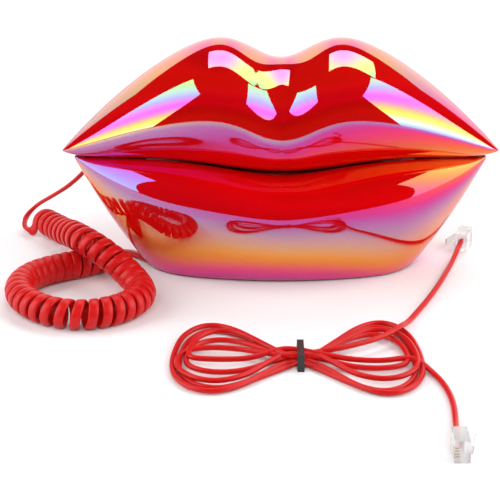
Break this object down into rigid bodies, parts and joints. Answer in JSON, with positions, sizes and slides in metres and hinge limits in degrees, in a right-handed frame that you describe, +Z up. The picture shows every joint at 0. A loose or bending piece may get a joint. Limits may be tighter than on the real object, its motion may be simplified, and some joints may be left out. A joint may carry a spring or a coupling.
{
  "type": "novelty shaped telephone",
  "caption": "Table telephone shaped as closed lips: the upper lip lifts off as the handset, the lower lip is the base, with a curly cord and a loose line cord.",
  "frame": {"origin": "on the table under the middle of the telephone's box, cords left out", "axes": "+X along the mouth, towards the earpiece end of the handset; -Y the front; +Z up"},
  "size_m": [0.2415, 0.2551, 0.1118],
  "materials": {
    "lip_gloss_red": "mirror gloss with a pink and gold sheen",
    "red_plastic": "moulded gloss",
    "black_rubber": "matte",
    "grey_rubber": "matte",
    "steel": "zinc plated",
    "aluminium": "drawn can",
    "circuit_board": "satin solder mask",
    "black_plastic": "fine texture",
    "gold_contact": "plated",
    "clear_plastic": "clear moulding",
    "key_plastic": "satin",
    "red_cord": "satin cord jacket",
    "black_tie": "twist tie"
  },
  "bodies": {
    "base": {"base_shell": "lip_gloss_red", "base_deck": "red_plastic", "handset_rest_left": "red_plastic", "handset_rest_right": "red_plastic", "base_bottom_cover": "red_plastic", "foot_front_left": "black_rubber", "foot_front_right": "black_rubber", "foot_rear_right": "black_rubber", "foot_rear_left": "black_rubber", "base_screws": "steel", "base_weight": "steel", "hook_spring": "steel", "base_circuit_board": "circuit_board", "hook_switch_body": "black_plastic", "ringer_buzzer": "black_plastic", "ringer_switch_body": "black_plastic", "line_jack": "black_plastic", "base_cord_jack": "black_plastic", "line_jack_contacts": "gold_contact", "line_plug_a_contacts": "gold_contact", "line_plug_b_contacts": "gold_contact", "base_cord_plug": "clear_plastic", "line_plug_a": "clear_plastic", "line_plug_b": "clear_plastic", "handset_cord_coil": "red_cord", "handset_cord_upper_lead": "red_cord", "handset_cord_lower_lead": "red_cord", "line_cord_hank": "red_cord", "line_cord_tail_a": "red_cord", "line_cord_tail_b": "red_cord", "line_cord_tie": "black_tie"},
    "handset": {"handset_shell": "lip_gloss_red", "handset_cover": "red_plastic", "keypad_membrane": "grey_rubber", "keypad_circuit_board": "circuit_board", "earpiece_gasket": "grey_rubber", "earpiece_speaker": "steel", "microphone": "aluminium", "handset_weight": "steel", "handset_screws": "steel", "handset_cord_jack": "black_plastic", "handset_cord_plug": "clear_plastic"},
    "hook_plunger": {"hook_plunger": "black_plastic"},
    "ringer_knob": {"ringer_switch_knob": "black_plastic"},
    "key_1": {"key_1": "key_plastic"},
    "key_2": {"key_2": "key_plastic"},
    "key_3": {"key_3": "key_plastic"},
    "key_4": {"key_4": "key_plastic"},
    "key_5": {"key_5": "key_plastic"},
    "key_6": {"key_6": "key_plastic"},
    "key_7": {"key_7": "key_plastic"},
    "key_8": {"key_8": "key_plastic"},
    "key_9": {"key_9": "key_plastic"},
    "key_star": {"key_star": "key_plastic"},
    "key_0": {"key_0": "key_plastic"},
    "key_hash": {"key_hash": "key_plastic"},
    "key_redial": {"key_redial": "key_plastic"},
    "key_flash": {"key_flash": "key_plastic"}
  },
  "joints": [
    {"name": "handset_lift", "type": "slide", "parent": "base", "child": "handset", "axis": [0, 0, 1], "range_m": [0, 0.12]},
    {"name": "hook_travel", "type": "slide", "parent": "base", "child": "hook_plunger", "axis": [0, 0, 1], "range_m": [0, 0.004], "deforming": ["hook_spring"]},
    {"name": "ringer_slide", "type": "slide", "parent": "base", "child": "ringer_knob", "axis": [1, 0, 0], "range_m": [0, 0.0025]},
    {"name": "key_1_press", "type": "slide", "parent": "handset", "child": "key_1", "axis": [0, 0, 1], "range_m": [0, 0.0012], "stiffness_N_per_m": 500, "springref_m": -0.0005},
    {"name": "key_2_press", "type": "slide", "parent": "handset", "child": "key_2", "axis": [0, 0, 1], "range_m": [0, 0.0012], "stiffness_N_per_m": 500, "springref_m": -0.0005},
    {"name": "key_3_press", "type": "slide", "parent": "handset", "child": "key_3", "axis": [0, 0, 1], "range_m": [0, 0.0012], "stiffness_N_per_m": 500, "springref_m": -0.0005},
    {"name": "key_4_press", "type": "slide", "parent": "handset", "child": "key_4", "axis": [0, 0, 1], "range_m": [0, 0.0012], "stiffness_N_per_m": 500, "springref_m": -0.0005},
    {"name": "key_5_press", "type": "slide", "parent": "handset", "child": "key_5", "axis": [0, 0, 1], "range_m": [0, 0.0012], "stiffness_N_per_m": 500, "springref_m": -0.0005},
    {"name": "key_6_press", "type": "slide", "parent": "handset", "child": "key_6", "axis": [0, 0, 1], "range_m": [0, 0.0012], "stiffness_N_per_m": 500, "springref_m": -0.0005},
    {"name": "key_7_press", "type": "slide", "parent": "handset", "child": "key_7", "axis": [0, 0, 1], "range_m": [0, 0.0012], "stiffness_N_per_m": 500, "springref_m": -0.0005},
    {"name": "key_8_press", "type": "slide", "parent": "handset", "child": "key_8", "axis": [0, 0, 1], "range_m": [0, 0.0012], "stiffness_N_per_m": 500, "springref_m": -0.0005},
    {"name": "key_9_press", "type": "slide", "parent": "handset", "child": "key_9", "axis": [0, 0, 1], "range_m": [0, 0.0012], "stiffness_N_per_m": 500, "springref_m": -0.0005},
    {"name": "key_star_press", "type": "slide", "parent": "handset", "child": "key_star", "axis": [0, 0, 1], "range_m": [0, 0.0012], "stiffness_N_per_m": 500, "springref_m": -0.0005},
    {"name": "key_0_press", "type": "slide", "parent": "handset", "child": "key_0", "axis": [0, 0, 1], "range_m": [0, 0.0012], "stiffness_N_per_m": 500, "springref_m": -0.0005},
    {"name": "key_hash_press", "type": "slide", "parent": "handset", "child": "key_hash", "axis": [0, 0, 1], "range_m": [0, 0.0012], "stiffness_N_per_m": 500, "springref_m": -0.0005},
    {"name": "key_redial_press", "type": "slide", "parent": "handset", "child": "key_redial", "axis": [0, 0, 1], "range_m": [0, 0.0012], "stiffness_N_per_m": 500, "springref_m": -0.0005},
    {"name": "key_flash_press", "type": "slide", "parent": "handset", "child": "key_flash", "axis": [0, 0, 1], "range_m": [0, 0.0012], "stiffness_N_per_m": 500, "springref_m": -0.0005}
  ],
  "couplings": [
    {"joint": "hook_travel", "follows": "handset_lift", "ratio": 0.0333}
  ]
}
